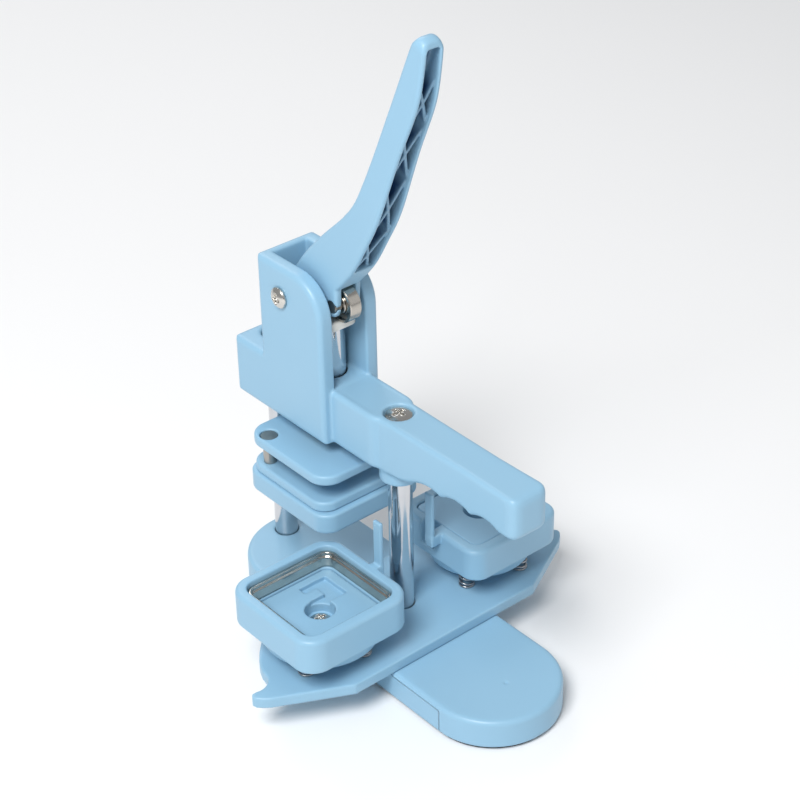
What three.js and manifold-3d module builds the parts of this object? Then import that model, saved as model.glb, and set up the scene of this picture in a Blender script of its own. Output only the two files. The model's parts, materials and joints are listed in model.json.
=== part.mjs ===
// Button badge maker: a hand press with two dies on a turntable.
// Millimetres, +Z up. The origin is on the floor, under the axis of the ram.
// The arm points to -Y and the handle is hinged at the top of the head.

import * as THREE from 'three';
import { mergeVertices } from 'three/addons/utils/BufferGeometryUtils.js';
import Module from 'manifold-3d';

const wasm = await Module();
wasm.setup();

// ---- Driving dimensions ----

const GAP = 0.3; // between pieces that touch

const PAD_THICKNESS = 1.5;
const FOOT_HALF_WIDTH = 34.3;
const FOOT_FRONT_Y = -117.7; // centres of the foot's two round ends
const FOOT_REAR_Y = 20.8;
const FOOT_TOP = 17.4;

const PIVOT_Y = -51.5; // front column, about which the turntable turns
const REAR_COLUMN_Y = 43.1;
const COLUMN_RADIUS = 6;
const COLUMN_BOTTOM = 7;
const COLUMN_TOP = 126;

const TABLE_BOTTOM = 17.8;
const TABLE_TOP = 23.8;
const TABLE_HALF_DEPTH = 34;
const NOTCH_RADIUS = 8.3; // a little wider than the column that it closes on
const NOTCH_X = 93.8; // centre of the notch's arc, from the turntable's axis
const NOTCH_Y = 1.5;

const DIE_RADIUS = 51.5; // from the pivot to the centre of each die
const DIE_FLOOR = 31.8; // underside of both floating sleeves
const DIE_SQUARE = 38.8; // where the round skirt turns into the square sleeve
const SLEEVE_FLOOR_TOP = 36;
const BOSS_RADIUS = 13.8;
const SPRING_PITCH_RADIUS = 21.5;
const SPRING_POCKET = 2.5;

const DIE_A_HALF = 32;
const DIE_A_TOP = 57.8;
const DIE_A_CORE_TOP = 45.8;
const DIE_B_HALF = 29.5;
const DIE_B_TOP = 56.8;
const DIE_B_CORE_TOP = 55.9;
const FINGER_TOP = 82.6;
const FINGER_INNER = 16.0; // distance of the finger's faces from the pivot axis
const FINGER_OUTER = 18.2;
const FINGER_WIDTH = 5.4;

const BLOCK_HALF = 31.8;
const BLOCK_BOTTOM = 66.8;
const BLOCK_TOP = 77.8;
const BLOCK_PLATE_TOP = 83.3;
const PLATE_HALF = 30.8;
const PLATE_BOTTOM = 94.1;
const PLATE_TOP = 99.3;
const PUSHER_BOTTOM = 75.5;
const PUSHER_TOP = 80.5;
const POST_X = -24.5; // the two guide posts stand on one diagonal
const POST_Y = 20;
const ROD_RADIUS = 8;
const CAP_BOTTOM = 164.6;
const CAP_TOP = 169.4;

const HEAD_HALF_WIDTH = 17.8;
const HEAD_FRONT = -16.5;
const HEAD_REAR = 31.5;
const HEAD_BOTTOM = 107.1;
const HEAD_TOP = 193.8;
const HEAD_CURVE = 20;
const CHANNEL_HALF = 10;
const CHANNEL_REAR = 27.8;
const ARM_TOP = 136.6; // also the floor of the head's channel
const ARM_TIP = -143.5;
const BOSS_BOTTOM = 99.8;
const REAR_BLOCK_REAR = 53.9;
const REAR_BLOCK_TOP = 138.8;

const HINGE_Y = 13.6;
const HINGE_Z = 177.4;
const ROLLER_Y = -12.8;
const ROLLER_Z = 179.3;
const ROLLER_RADIUS = 9.5;
const ROLLER_HALF = 3.3;
const HANDLE_HALF = 7.8;
const HANDLE_WALL = 2.2;
const TIP_HALF = 6; // half width of the lever at its round end
const TIP_TAPER = 95; // length over which it narrows to that
const HANDLE_TILT = 1.94; // of its upper half, up from the horizontal
const BOLT_RADIUS = 3;

// ---- Materials ----

const blue = material(0x8fc1e3, 0.35, 0);
const darkBlue = material(0x7fb2d8, 0.4, 0);
const chrome = material(0xd8dadc, 0.12, 1);
const steel = material(0xa9a49c, 0.3, 1);
const springSteel = material(0x8d8f92, 0.35, 1);
const bronze = material(0xa98455, 0.45, 1);
const nylon = material(0xe6e4de, 0.5, 0);
const rubber = material(0x2c2e31, 0.85, 0);

function material(color, roughness, metalness) {
  return new THREE.MeshStandardMaterial({ color, roughness, metalness });
}

// ---- Shapes ----

function roundedRect(halfX, halfY, radius) {
  const shape = new THREE.Shape();
  shape.absarc(halfX - radius, halfY - radius, radius, 0, Math.PI / 2);
  shape.absarc(-halfX + radius, halfY - radius, radius, Math.PI / 2, Math.PI);
  shape.absarc(-halfX + radius, -halfY + radius, radius, Math.PI, 1.5 * Math.PI);
  shape.absarc(halfX - radius, -halfY + radius, radius, 1.5 * Math.PI, 2 * Math.PI);
  return shape;
}

function stadium(halfWidth, frontY, rearY) {
  const shape = new THREE.Shape();
  shape.absarc(0, rearY, halfWidth, 0, Math.PI);
  shape.absarc(0, frontY, halfWidth, Math.PI, 2 * Math.PI);
  return shape;
}

function polygon(points) {
  return new THREE.Shape(points.map(([x, y]) => new THREE.Vector2(x, y)));
}

// An outline in the XY plane, raised from z0 to z1 and moved along Y.
function prism(shape, z0, z1, curveSegments = 3, y = 0) {
  const geometry = new THREE.ExtrudeGeometry(shape, {
    depth: z1 - z0,
    bevelEnabled: false,
    curveSegments,
  });
  return solid(geometry.translate(0, y, z0));
}

// An outline drawn as (y, z), raised along X from x0 to x1.
function sidePrism(shape, x0, x1, curveSegments = 4) {
  const geometry = new THREE.ExtrudeGeometry(shape, {
    depth: x1 - x0,
    bevelEnabled: false,
    curveSegments,
  });
  const yzx = new THREE.Matrix4().set(0, 0, 1, x0, 1, 0, 0, 0, 0, 1, 0, 0, 0, 0, 0, 1);
  return solid(geometry.applyMatrix4(yzx));
}

function rod(radius, z0, z1, x = 0, y = 0, sides = 16) {
  const geometry = new THREE.CylinderGeometry(radius, radius, z1 - z0, sides);
  geometry.rotateX(Math.PI / 2);
  return solid(geometry.translate(x, y, (z0 + z1) / 2));
}

// A cylinder along X, centred on (y, z).
function crossRod(radius, x0, x1, y, z, sides = 16) {
  const geometry = new THREE.CylinderGeometry(radius, radius, x1 - x0, sides);
  geometry.rotateZ(Math.PI / 2);
  return solid(geometry.translate((x0 + x1) / 2, y, z));
}

function box(x0, x1, y0, y1, z0, z1) {
  const geometry = new THREE.BoxGeometry(x1 - x0, y1 - y0, z1 - z0);
  return solid(geometry.translate((x0 + x1) / 2, (y0 + y1) / 2, (z0 + z1) / 2));
}

// A profile of (radius, z) pairs that starts and ends on the axis, turned about Z.
function turned(profile, sides = 16) {
  const points = profile.map(([r, z]) => new THREE.Vector2(r, z));
  const geometry = new THREE.LatheGeometry(points, sides);
  return solid(geometry.rotateX(Math.PI / 2));
}

class Helix extends THREE.Curve {
  constructor(radius, z0, z1, turns) {
    super();
    this.radius = radius;
    this.z0 = z0;
    this.z1 = z1;
    this.turns = turns;
  }

  getPoint(t, target = new THREE.Vector3()) {
    const angle = 2 * Math.PI * this.turns * t;
    const z = this.z0 + (this.z1 - this.z0) * t;
    return target.set(this.radius * Math.cos(angle), this.radius * Math.sin(angle), z);
  }
}

function coilSpring(radius, wire, z0, z1, turns, stepsPerTurn = 10) {
  const section = new THREE.Shape();
  section.absarc(0, 0, wire / 2, 0, 2 * Math.PI);
  return new THREE.ExtrudeGeometry(section, {
    extrudePath: new Helix(radius, z0 + wire / 2, z1 - wire / 2, turns),
    steps: Math.round(stepsPerTurn * turns),
    curveSegments: 2,
    bevelEnabled: false,
  });
}

// ---- Solids: conversion to and from the boolean library ----

function solid(geometry) {
  const bare = geometry.index ? geometry.toNonIndexed() : geometry;
  bare.deleteAttribute('normal');
  bare.deleteAttribute('uv');
  const merged = mergeVertices(bare, 1e-4);
  const vertProperties = new Float32Array(merged.attributes.position.array);
  const triVerts = new Uint32Array(merged.index.array);
  return new wasm.Manifold(new wasm.Mesh({ numProp: 3, vertProperties, triVerts }));
}

function geometryOf(manifold) {
  const { vertProperties, triVerts } = manifold.getMesh();
  const geometry = new THREE.BufferGeometry();
  geometry.setAttribute('position', new THREE.BufferAttribute(vertProperties, 3));
  geometry.setIndex(new THREE.BufferAttribute(triVerts, 1));
  geometry.computeVertexNormals();
  return geometry;
}

function cut(body, ...tools) {
  return tools.reduce((result, tool) => result.subtract(tool), body);
}

function join(body, ...others) {
  return others.reduce((result, other) => result.add(other), body);
}

function named(name, shape, look) {
  const geometry = shape.isBufferGeometry ? shape : geometryOf(shape);
  const mesh = new THREE.Mesh(geometry, look);
  mesh.name = name;
  return mesh;
}

function crossRecess(size, depth, top) {
  const half = size / 2;
  const arm = size / 7;
  const alongX = box(-half, half, -arm, arm, top - depth, top + 1);
  const alongY = box(-arm, arm, -half, half, top - depth, top + 1);
  return alongX.add(alongY);
}

const badgeMaker = new THREE.Group();

// ---- Base: foot, anti-slip pad and the two columns ----

function makeBase() {
  const base = new THREE.Group();
  const bottom = PAD_THICKNESS + GAP;

  const padShape = stadium(FOOT_HALF_WIDTH - 2, FOOT_FRONT_Y, FOOT_REAR_Y);
  base.add(named('anti_slip_pad', prism(padShape, 0, PAD_THICKNESS, 10), rubber));

  const footShape = stadium(FOOT_HALF_WIDTH, FOOT_FRONT_Y, FOOT_REAR_Y);
  let foot = prism(footShape, bottom, FOOT_TOP, 10);
  for (const y of [PIVOT_Y, REAR_COLUMN_Y]) {
    foot = cut(
      foot,
      rod(COLUMN_RADIUS + GAP, COLUMN_BOTTOM - GAP, FOOT_TOP + 1, 0, y),
      rod(BOLT_RADIUS + GAP, bottom + 2, COLUMN_BOTTOM, 0, y),
      rod(6.2, bottom - 1, bottom + 2.9, 0, y),
    );
  }
  base.add(named('foot', foot, blue));

  const columns = [['front', PIVOT_Y], ['rear', REAR_COLUMN_Y]];
  for (const [place, y] of columns) {
    const column = rod(COLUMN_RADIUS, COLUMN_BOTTOM, COLUMN_TOP, 0, 0, 24);
    const columnMesh = named(`${place}_column`, column, chrome);
    columnMesh.position.y = y;
    base.add(columnMesh);

    const screw = turned([
      [0, bottom + 0.4],
      [5.8, bottom + 0.4],
      [5.8, bottom + 2.6],
      [BOLT_RADIUS, bottom + 2.6],
      [BOLT_RADIUS, COLUMN_BOTTOM - GAP],
      [0, COLUMN_BOTTOM - GAP],
    ]);
    const screwMesh = named(`${place}_foot_screw`, screw, steel);
    screwMesh.position.y = y;
    base.add(screwMesh);
  }
  return base;
}

// ---- Head: one moulding with the arm, and what is fastened to it ----

function headSideShape() {
  const shape = new THREE.Shape();
  shape.moveTo(HEAD_FRONT, HEAD_BOTTOM);
  shape.lineTo(REAR_BLOCK_REAR, HEAD_BOTTOM);
  shape.lineTo(REAR_BLOCK_REAR, REAR_BLOCK_TOP);
  shape.lineTo(HEAD_REAR, REAR_BLOCK_TOP);
  shape.lineTo(HEAD_REAR, HEAD_TOP);
  const centreY = HEAD_FRONT + HEAD_CURVE;
  shape.absarc(centreY, HEAD_TOP - HEAD_CURVE, HEAD_CURVE, Math.PI / 2, Math.PI);
  shape.lineTo(HEAD_FRONT, HEAD_BOTTOM);
  return shape;
}

// Plan of the arm: wide at the head, narrower past the front column, round at the tip.
function armPlanShape() {
  const shape = new THREE.Shape();
  const tipRadius = 7;
  shape.moveTo(13, HEAD_FRONT + 5);
  shape.lineTo(-13, HEAD_FRONT + 5);
  shape.lineTo(-13, -43);
  shape.quadraticCurveTo(-13, -47, -10.8, -50);
  shape.lineTo(-10.2, -110);
  shape.lineTo(-10.8, ARM_TIP + tipRadius);
  shape.quadraticCurveTo(-10.8, ARM_TIP, -10.8 + tipRadius, ARM_TIP);
  shape.lineTo(10.8 - tipRadius, ARM_TIP);
  shape.quadraticCurveTo(10.8, ARM_TIP, 10.8, ARM_TIP + tipRadius);
  shape.lineTo(10.2, -110);
  shape.lineTo(10.8, -50);
  shape.quadraticCurveTo(13, -47, 13, -43);
  return shape;
}

// Side view of the arm, drawn as (y, z): three finger hollows under the grip.
function armSideShape() {
  const shape = new THREE.Shape();
  shape.moveTo(HEAD_FRONT + 5, ARM_TOP);
  shape.lineTo(HEAD_FRONT + 5, HEAD_BOTTOM);
  shape.lineTo(-58, HEAD_BOTTOM);
  shape.quadraticCurveTo(-64, HEAD_BOTTOM, -70, 109.5);
  shape.quadraticCurveTo(-82, 116.5, -92, 112.5);
  shape.quadraticCurveTo(-102, 118.5, -112, 113.5);
  shape.quadraticCurveTo(-122, 119, -131, 114.5);
  shape.lineTo(-139, 114.5);
  shape.quadraticCurveTo(ARM_TIP, 114.8, ARM_TIP, 119);
  shape.lineTo(ARM_TIP, 131);
  shape.quadraticCurveTo(ARM_TIP, ARM_TOP, -137.5, ARM_TOP);
  return shape;
}

function makeHead() {
  const head = new THREE.Group();
  const plan = roundedRect(HEAD_HALF_WIDTH, (REAR_BLOCK_REAR - HEAD_FRONT) / 2, 3.5);
  const middleY = (REAR_BLOCK_REAR + HEAD_FRONT) / 2;
  const planSolid = prism(plan, HEAD_BOTTOM - 1, HEAD_TOP + 1, 3, middleY);
  const side = sidePrism(headSideShape(), -HEAD_HALF_WIDTH - 1, HEAD_HALF_WIDTH + 1, 8);
  const shell = side.intersect(planSolid);

  const armPlan = prism(armPlanShape(), BOSS_BOTTOM, ARM_TOP, 6);
  const arm = sidePrism(armSideShape(), -14, 14, 8).intersect(armPlan);
  const boss = rod(10, BOSS_BOTTOM, ARM_TOP - 2, 0, PIVOT_Y, 24);

  const channel = box(
    -CHANNEL_HALF, CHANNEL_HALF, HEAD_FRONT - 1, CHANNEL_REAR, ARM_TOP, HEAD_TOP + 1,
  );
  const body = cut(
    join(shell, arm, boss),
    channel,
    rod(ROD_RADIUS + GAP, HEAD_BOTTOM - 1, ARM_TOP + 1, 0, 0, 24),
    rod(12.8, HEAD_BOTTOM - 1, ARM_TOP - 1.5, 0, 0, 24),
    crossRod(BOLT_RADIUS + GAP, -20, 20, HINGE_Y, HINGE_Z),
    rod(COLUMN_RADIUS + GAP, BOSS_BOTTOM - 1, COLUMN_TOP + GAP, 0, PIVOT_Y),
    rod(BOLT_RADIUS + 0.4, COLUMN_TOP, ARM_TOP, 0, PIVOT_Y),
    rod(7.4, ARM_TOP - 2.5, ARM_TOP + 1, 0, PIVOT_Y),
    rod(COLUMN_RADIUS + GAP, HEAD_BOTTOM - 1, COLUMN_TOP + GAP, 0, REAR_COLUMN_Y),
    rod(BOLT_RADIUS + 0.4, COLUMN_TOP, REAR_BLOCK_TOP, 0, REAR_COLUMN_Y),
    rod(7.4, REAR_BLOCK_TOP - 2.5, REAR_BLOCK_TOP + 1, 0, REAR_COLUMN_Y),
  );
  head.add(named('head_and_arm', body, blue));

  const tops = [['front', PIVOT_Y, ARM_TOP], ['rear', REAR_COLUMN_Y, REAR_BLOCK_TOP]];
  for (const [place, y, top] of tops) {
    const screw = turned([
      [0, COLUMN_TOP + GAP],
      [BOLT_RADIUS, COLUMN_TOP + GAP],
      [BOLT_RADIUS, top - 2.2],
      [6.9, top - 2.2],
      [6.9, top - 1],
      [5.4, top - 0.3],
      [0, top - 0.1],
    ]);
    const screwMesh = named(`${place}_top_screw`, cut(screw, crossRecess(7, 1.4, top)), chrome);
    screwMesh.position.y = y;
    head.add(screwMesh);
  }

  const bush = cut(
    rod(12.5, HEAD_BOTTOM + GAP, HEAD_BOTTOM + 2.8, 0, 0, 24),
    rod(ROD_RADIUS + 0.15, HEAD_BOTTOM - 1, HEAD_BOTTOM + 4, 0, 0, 24),
  );
  head.add(named('ram_guide_bush', bush, bronze));
  head.add(makeHingeBolt());
  return head;
}

// The handle turns on a through bolt, with a washer on either side and a nut.
function makeHingeBolt() {
  const hinge = new THREE.Group();
  hinge.position.set(0, HINGE_Y, HINGE_Z);

  const headFace = HEAD_HALF_WIDTH + GAP;
  const bolt = turned([
    [0, -HEAD_HALF_WIDTH - 5],
    [BOLT_RADIUS, -HEAD_HALF_WIDTH - 5],
    [BOLT_RADIUS, headFace],
    [5.5, headFace],
    [5.3, headFace + 1.6],
    [3.8, headFace + 2.8],
    [0, headFace + 3.2],
  ]);
  const boltMesh = named('hinge_bolt', cut(bolt, crossRecess(6, 1.8, headFace + 3.2)), chrome);
  boltMesh.rotation.y = -Math.PI / 2;
  hinge.add(boltMesh);

  const nut = cut(rod(5.8, headFace, headFace + 4.2, 0, 0, 6), rod(3.3, 0, 30));
  const nutMesh = named('hinge_nut', nut, steel);
  nutMesh.rotation.y = Math.PI / 2;
  hinge.add(nutMesh);

  for (const [place, side] of [['left', -1], ['right', 1]]) {
    const washer = cut(rod(6.2, -0.8, 0.8), rod(3.3, -2, 2));
    const washerMesh = named(`hinge_washer_${place}`, washer, steel);
    washerMesh.rotation.y = Math.PI / 2;
    washerMesh.position.x = side * (HANDLE_HALF + CHANNEL_HALF) / 2;
    hinge.add(washerMesh);
  }
  return hinge;
}

// ---- Handle: a moulded lever, hollow at the front and stiffened by crossed ribs ----

const HANDLE_BACK = [
  [19.5, 183], [8, 199], [-6.3, 214.4], [-27.5, 235.4], [-39.1, 255.3], [-55.8, 293.6], [-68.5, 324],
];
const HANDLE_FRONT = [
  [-78.5, 321], [-73.9, 299.7], [-61.9, 271.9], [-48.3, 237.6], [-38.2, 218.8], [-28.6, 203], [-17, 189.5],
];

function vectors(points) {
  return points.map(([y, z]) => new THREE.Vector2(y, z));
}

// Side view of the lever, drawn as (y, z), from the hinge up the back and down the front.
function handleShape(setBack = 0) {
  const front = HANDLE_FRONT.map(([y, z]) => [y + setBack, z]);
  const shape = new THREE.Shape();
  shape.moveTo(...HANDLE_BACK[0]);
  shape.splineThru(vectors(HANDLE_BACK.slice(1)));
  shape.bezierCurveTo(-71, 330, -74, 332.6, -76.6, 331.8);
  shape.bezierCurveTo(-79, 331, -79.2, 326, ...front[0]);
  shape.splineThru(vectors(front.slice(1)));
  shape.lineTo(-16.3, 179);
  shape.quadraticCurveTo(-16, 174, -12.5, 173.6);
  shape.lineTo(8, 172.2);
  shape.absarc(HINGE_Y, HINGE_Z, 7, Math.PI * 1.2, Math.PI * 2.2);
  return shape;
}

// The hollow behind the crossed ribs: open at the front, a wall's depth from the back.
function handleHollowShape() {
  const back = HANDLE_BACK.slice(2).map(([y, z]) => [y - 3.4, z - 2.2]);
  const shape = new THREE.Shape();
  shape.moveTo(-22, 207);
  shape.splineThru(vectors(back));
  shape.quadraticCurveTo(-73.5, 327.5, -75, 327.5);
  shape.lineTo(-95, 325);
  shape.lineTo(-60, 230);
  shape.lineTo(-34, 200);
  return shape;
}

// Where neighbouring ribs meet the side walls, as (y, z) up the front of the lever.
const RIB_NODES = [[-25.5, 197.5], [-38.7, 226], [-53.3, 257], [-66, 287], [-75.5, 314]];
const RIB_THICKNESS = 1.5;
const RIB_SETBACK = 2.4;

function crossedRibs() {
  const half = HANDLE_HALF - HANDLE_WALL + 0.5;
  let ribs = null;
  for (let cell = 1; cell < RIB_NODES.length; cell += 1) {
    const low = new THREE.Vector2(...RIB_NODES[cell - 1]);
    const high = new THREE.Vector2(...RIB_NODES[cell]);
    const middle = low.clone().add(high).multiplyScalar(0.5);
    const along = high.clone().sub(low);
    const tilt = Math.atan2(along.y, along.x) - Math.PI / 2;
    const slant = Math.atan2(2 * half, along.length());
    for (const side of [-1, 1]) {
      const length = Math.hypot(2 * half, along.length());
      const rib = new THREE.BoxGeometry(RIB_THICKNESS, 40, length);
      rib.rotateY(side * slant);
      rib.rotateX(tilt);
      const placed = solid(rib.translate(0, middle.x, middle.y));
      ribs = ribs ? ribs.add(placed) : placed;
    }
  }
  return ribs;
}

// A long bar along the lever, seen from its front: it narrows towards a round upper end.
function taperedBar(inset) {
  const half = HANDLE_HALF + 0.05 - inset;
  const below = -250;
  const shape = new THREE.Shape();
  shape.moveTo(half, below);
  shape.lineTo(half, -TIP_TAPER);
  shape.absarc(0, -TIP_HALF, TIP_HALF - inset, 0, Math.PI);
  shape.lineTo(-half, -TIP_TAPER);
  shape.lineTo(-half, below);
  const bar = new THREE.ExtrudeGeometry(shape, {
    depth: 120,
    bevelEnabled: false,
    curveSegments: 6,
  });
  bar.translate(0, 0, -60);
  bar.rotateX(HANDLE_TILT);
  return solid(bar.translate(0, -76.3, 332.6));
}

function makeHandle() {
  const handle = new THREE.Group();
  const outside = sidePrism(handleShape(), -HANDLE_HALF, HANDLE_HALF, 3).intersect(taperedBar(0));
  const wide = HANDLE_HALF + 1;
  const hollow = sidePrism(handleHollowShape(), -wide, wide, 3).intersect(taperedBar(HANDLE_WALL));
  const setBack = sidePrism(handleShape(RIB_SETBACK), -wide, wide, 3);
  const ribs = crossedRibs().intersect(setBack).intersect(taperedBar(HANDLE_WALL - 0.5));
  const rollerRoom = crossRod(ROLLER_RADIUS + 1.4, -4.2, 4.2, ROLLER_Y, ROLLER_Z, 24);
  const rollerMouth = box(-4.2, 4.2, -30, ROLLER_Y, 160, ROLLER_Z + 9);

  const lever = cut(
    join(cut(outside, hollow), ribs),
    rollerRoom,
    rollerMouth,
    crossRod(5.3, -10, 10, HINGE_Y, HINGE_Z),
    crossRod(3.25, -10, 10, ROLLER_Y, ROLLER_Z),
    box(-CHANNEL_HALF, CHANNEL_HALF, -20, 10.4, 150, CAP_TOP + 0.8),
  );
  handle.add(named('handle_lever', lever, blue));

  const bushing = cut(rod(5, -7.6, 7.6), rod(BOLT_RADIUS + GAP, -9, 9));
  const bushingMesh = named('handle_bushing', bushing, bronze);
  bushingMesh.rotation.y = Math.PI / 2;
  bushingMesh.position.set(0, HINGE_Y, HINGE_Z);
  handle.add(bushingMesh);

  handle.add(makeRoller());
  return handle;
}

// A sealed ball bearing on a pin between the handle's two prongs.
function makeRoller() {
  const roller = new THREE.Group();
  roller.position.set(0, ROLLER_Y, ROLLER_Z);
  roller.rotation.y = Math.PI / 2;

  roller.add(named('roller_pin', rod(2.95, -7.6, 7.6), steel));

  const innerRing = cut(rod(4.9, -ROLLER_HALF, ROLLER_HALF), rod(3.25, -9, 9));
  roller.add(named('roller_inner_ring', innerRing, steel));

  const outerRing = cut(
    turned([
      [0, -ROLLER_HALF],
      [ROLLER_RADIUS - 0.5, -ROLLER_HALF],
      [ROLLER_RADIUS, -ROLLER_HALF + 0.5],
      [ROLLER_RADIUS, ROLLER_HALF - 0.5],
      [ROLLER_RADIUS - 0.5, ROLLER_HALF],
      [0, ROLLER_HALF],
    ], 24),
    rod(5.2, -9, 9),
    rod(7.6, -9, -ROLLER_HALF + 0.4),
    rod(7.6, ROLLER_HALF - 0.4, 9),
  );
  roller.add(named('roller_outer_ring', outerRing, steel));
  return roller;
}

// ---- Ram: rod, cap, upper plate, pusher and the return spring ----

function makeRam() {
  const ram = new THREE.Group();
  const spigot = 5;

  const ramRod = turned([
    [0, 81],
    [spigot, 81],
    [spigot, PLATE_TOP + GAP],
    [ROD_RADIUS, PLATE_TOP + GAP],
    [ROD_RADIUS, CAP_BOTTOM - GAP],
    [0, CAP_BOTTOM - GAP],
  ], 24);
  ram.add(named('ram_rod', ramRod, chrome));

  const capShape = roundedRect(CHANNEL_HALF - 0.6, 11, 5);
  const cap = prism(capShape, CAP_BOTTOM, CAP_TOP, 3, -1.5);
  ram.add(named('ram_cap', cap, nylon));

  const ringTop = ARM_TOP - 2.4;
  const ring = cut(
    rod(11, ringTop - 1.2, ringTop, 0, 0, 24),
    rod(ROD_RADIUS + 0.2, 100, 140, 0, 0, 24),
    box(-3, 3, -20, -7, 100, 140),
  );
  ram.add(named('ram_retaining_ring', ring, springSteel));

  const springBottom = HEAD_BOTTOM + 3.1;
  const returnSpring = coilSpring(10.1, 1.3, springBottom, ringTop - 1.5, 4, 12);
  ram.add(named('ram_return_spring', returnSpring, springSteel));

  let plate = cut(
    prism(roundedRect(PLATE_HALF, PLATE_HALF, 10.5), PLATE_BOTTOM, PLATE_TOP),
    rod(spigot + GAP, 80, 110),
    rod(13.4, 80, PLATE_BOTTOM + 3.2, 0, 0, 24),
  );
  for (const side of [1, -1]) {
    plate = cut(
      plate,
      rod(3.7, 80, 110, side * POST_X, side * POST_Y, 24),
      rod(4.6, PLATE_TOP - 2.8, 110, side * POST_X, side * POST_Y, 24),
    );
  }
  ram.add(named('upper_plate', plate, blue));

  const spacer = cut(
    rod(8.5, PUSHER_TOP + GAP, PLATE_BOTTOM + 2.9),
    rod(spigot + GAP, 70, 110),
  );
  ram.add(named('pusher_spacer', spacer, steel));

  const pusher = cut(
    prism(roundedRect(23.2, 23.2, 5), PUSHER_BOTTOM, PUSHER_TOP),
    rod(2.8, 70, 90),
    rod(6, 70, PUSHER_BOTTOM + 2.6),
  );
  ram.add(named('pusher', pusher, nylon));

  const screw = turned([
    [0, PUSHER_BOTTOM + 0.3],
    [5.6, PUSHER_BOTTOM + 0.3],
    [5.6, PUSHER_BOTTOM + 2.3],
    [2.5, PUSHER_BOTTOM + 2.3],
    [2.5, PUSHER_TOP + 0.2],
    [0, PUSHER_TOP + 0.2],
  ], 24);
  ram.add(named('pusher_screw', screw, chrome));
  return ram;
}

// ---- Upper die block: a square sleeve that hangs from the upper plate on two posts ----

function makeUpperBlock() {
  const block = new THREE.Group();
  const body = cut(
    prism(roundedRect(BLOCK_HALF, BLOCK_HALF, 9), BLOCK_BOTTOM, BLOCK_TOP),
    prism(roundedRect(24.2, 24.2, 6), BLOCK_BOTTOM - 1, BLOCK_TOP + 1),
  );
  block.add(named('upper_block', body, blue));

  const plateBottom = BLOCK_TOP + GAP;
  let topPlate = cut(
    prism(roundedRect(30.3, 29.5, 9), plateBottom, BLOCK_PLATE_TOP, 3, 0.5),
    prism(roundedRect(24, 24, 6), plateBottom - 1, PUSHER_TOP + 0.4),
    rod(9.2, 70, 90),
  );
  for (const side of [1, -1]) {
    const hole = rod(2.3, 70, 90, side * POST_X, side * POST_Y, 24);
    topPlate = cut(topPlate, hole);
  }
  block.add(named('upper_block_plate', topPlate, blue));

  for (const [place, side] of [['left', 1], ['right', -1]]) {
    const post = turned([
      [0, PUSHER_TOP + 0.7],
      [2, PUSHER_TOP + 0.7],
      [2, BLOCK_PLATE_TOP + GAP],
      [3.3, BLOCK_PLATE_TOP + GAP],
      [3.3, PLATE_TOP - 2.5],
      [4.2, PLATE_TOP - 2.5],
      [4.2, PLATE_TOP - 0.6],
      [0, PLATE_TOP - 0.6],
    ], 24);
    const postMesh = named(`guide_post_${place}`, post, steel);
    postMesh.position.set(side * POST_X, side * POST_Y, 0);
    block.add(postMesh);
  }

  const spring = coilSpring(11, 1.3, BLOCK_PLATE_TOP + GAP, PLATE_BOTTOM + 2.9, 3, 12);
  block.add(named('block_spring', spring, springSteel));
  return block;
}

// ---- Turntable: notched at both ends so that each die locks against the rear column ----

function turntableShape() {
  const right = [
    [58, -TABLE_HALF_DEPTH],
    [94.5, -15],
    [97.5, -12.6],
    [99.6, -10.2],
    [100, -8.2],
    [98.9, -6.5],
  ];
  const arcFrom = -Math.PI * 0.4;
  const arcTo = -Math.PI * 0.98;
  const steps = 8;
  for (let i = 0; i <= steps; i += 1) {
    const angle = arcFrom + (arcTo - arcFrom) * (i / steps);
    const x = NOTCH_X + NOTCH_RADIUS * Math.cos(angle);
    right.push([x, NOTCH_Y + NOTCH_RADIUS * Math.sin(angle)]);
  }
  right.push([84.9, 4], [83.2, 8], [80.9, 11.6], [77, 16.5], [60, TABLE_HALF_DEPTH]);
  const left = right.map(([x, y]) => [-x, y]).reverse();
  return polygon([...right, ...left]);
}

function makeTurntable() {
  const table = new THREE.Group();
  table.position.y = PIVOT_Y;
  const bushingTop = TABLE_TOP - 1.5; // it is pressed in from below, under a thin lip

  let plate = cut(
    prism(turntableShape(), TABLE_BOTTOM, TABLE_TOP),
    rod(9.3, TABLE_BOTTOM - 1, bushingTop + GAP, 0, 0, 24),
    rod(COLUMN_RADIUS + GAP, TABLE_BOTTOM, TABLE_TOP + 1, 0, 0, 24),
  );
  for (const side of [-1, 1]) {
    const x = side * DIE_RADIUS;
    plate = cut(
      plate,
      rod(BOLT_RADIUS + GAP, TABLE_BOTTOM - 1, TABLE_TOP + 1, x, 0, 24),
      rod(6.3, TABLE_BOTTOM - 1, TABLE_BOTTOM + 2.8, x, 0, 24),
    );
  }
  table.add(named('turntable_plate', plate, blue));

  const bushing = cut(
    rod(9, TABLE_BOTTOM, bushingTop, 0, 0, 24),
    rod(COLUMN_RADIUS + 0.25, TABLE_BOTTOM - 1, TABLE_TOP + 1, 0, 0, 24),
  );
  table.add(named('turntable_bushing', bushing, nylon));
  table.add(makeDieA());
  table.add(makeDieB());
  return table;
}

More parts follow.
